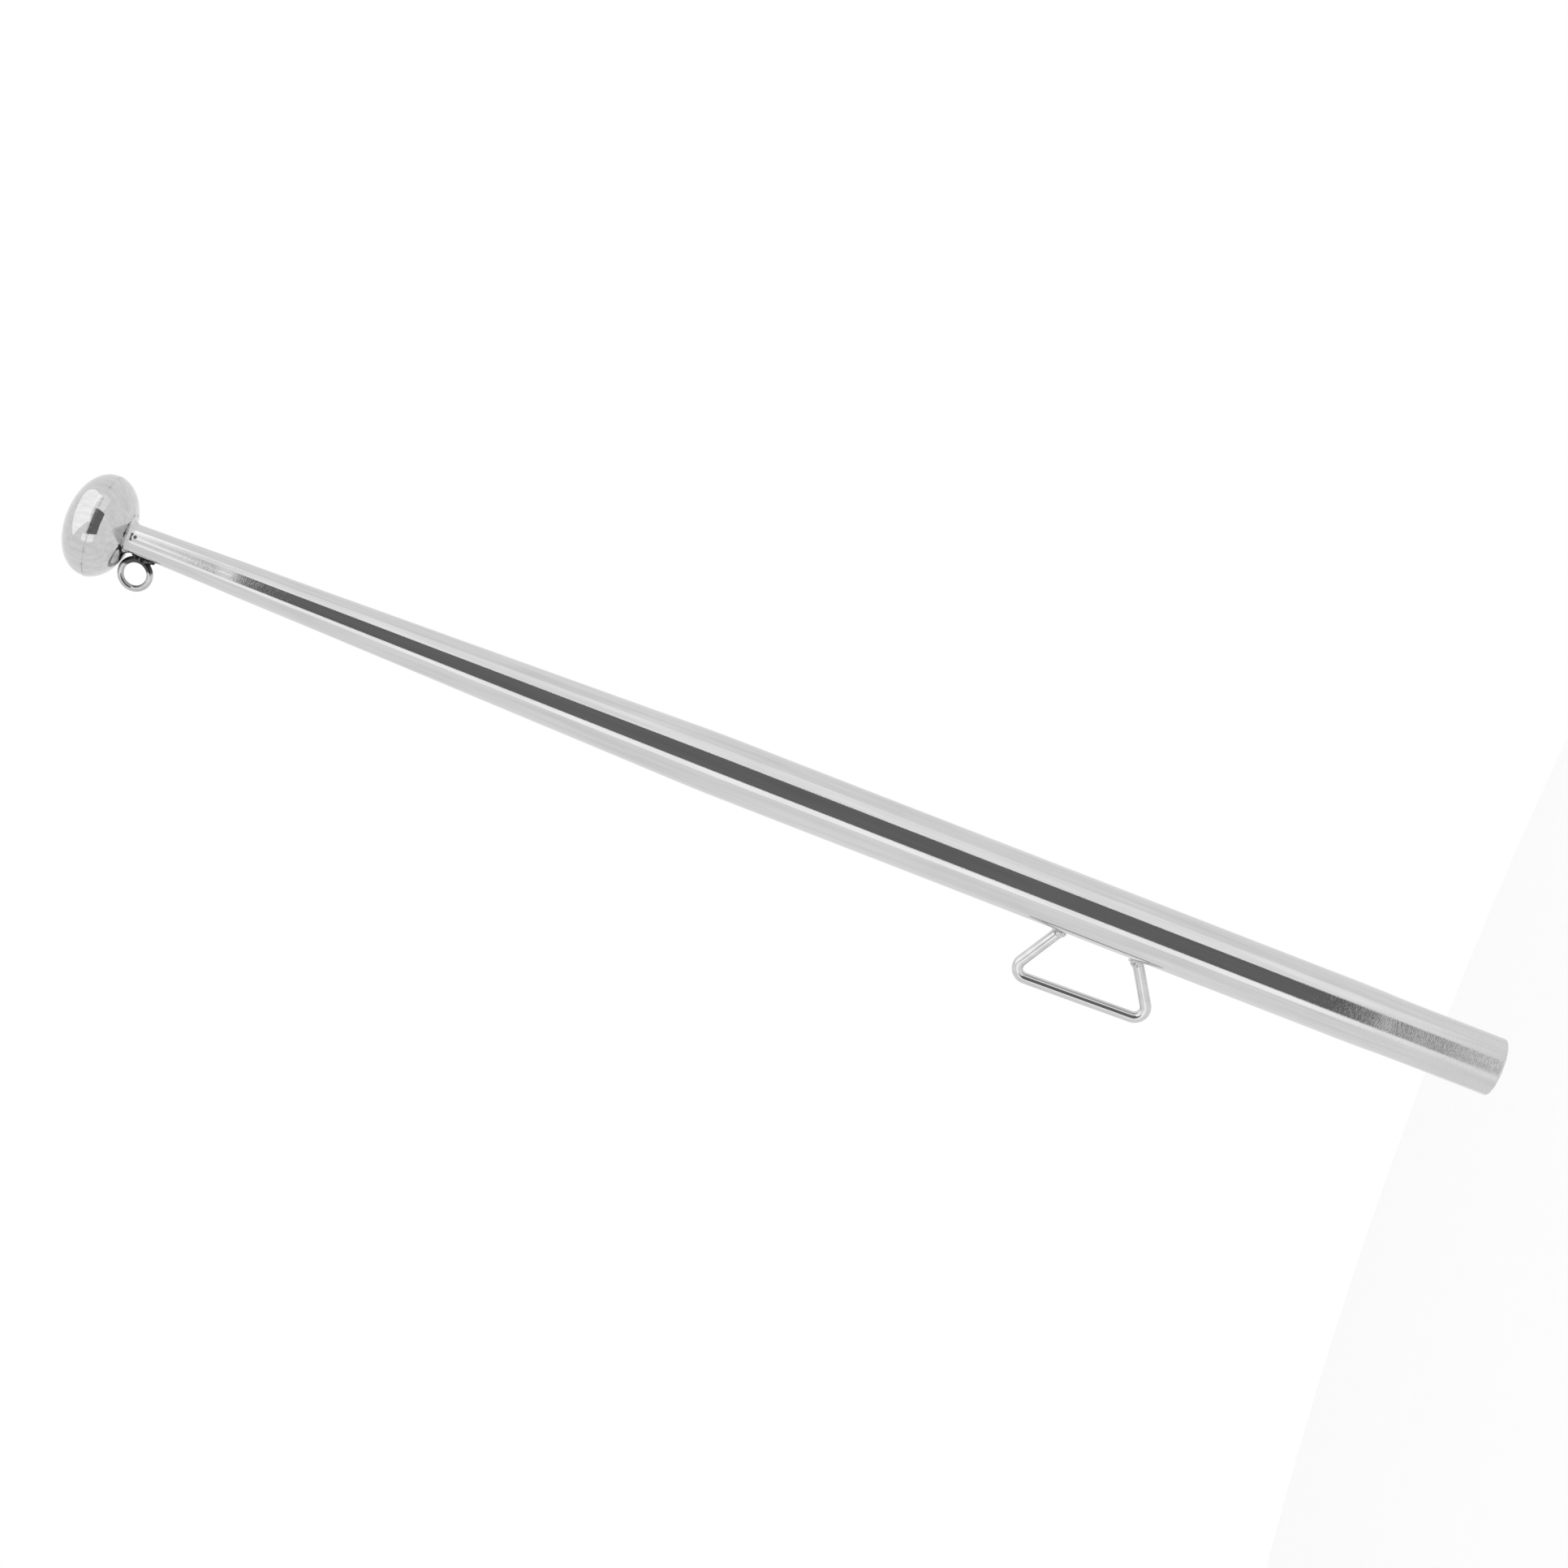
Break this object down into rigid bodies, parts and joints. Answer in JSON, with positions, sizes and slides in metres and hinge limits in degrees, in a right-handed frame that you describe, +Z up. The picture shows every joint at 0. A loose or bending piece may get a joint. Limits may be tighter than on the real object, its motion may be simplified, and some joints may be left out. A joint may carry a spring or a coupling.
{
  "type": "boat flagpole",
  "caption": "Tapered tubular flagpole with a flattened ball on top, a wire ring below the ball and a bent wire hoop lower down, to which a flag is tied.",
  "frame": {"origin": "centre of the flat lower end of the tube", "axes": "+Z up the pole towards the ball; the ring and the hoop stand out on the -X side, in the plane Y = 0"},
  "size_m": [0.0614, 0.043, 0.619],
  "materials": {
    "polished_steel": "polished",
    "weld_bead": "satin"
  },
  "bodies": {
    "root": {"shaft_tube": "polished_steel", "finial_upper_shell": "polished_steel", "finial_lower_shell": "polished_steel", "finial_seam_weld": "polished_steel", "finial_neck_weld": "polished_steel", "top_ring": "polished_steel", "ring_weld": "weld_bead", "flag_hoop": "polished_steel", "hoop_upper_weld": "weld_bead", "hoop_lower_weld": "weld_bead"}
  },
  "joints": []
}
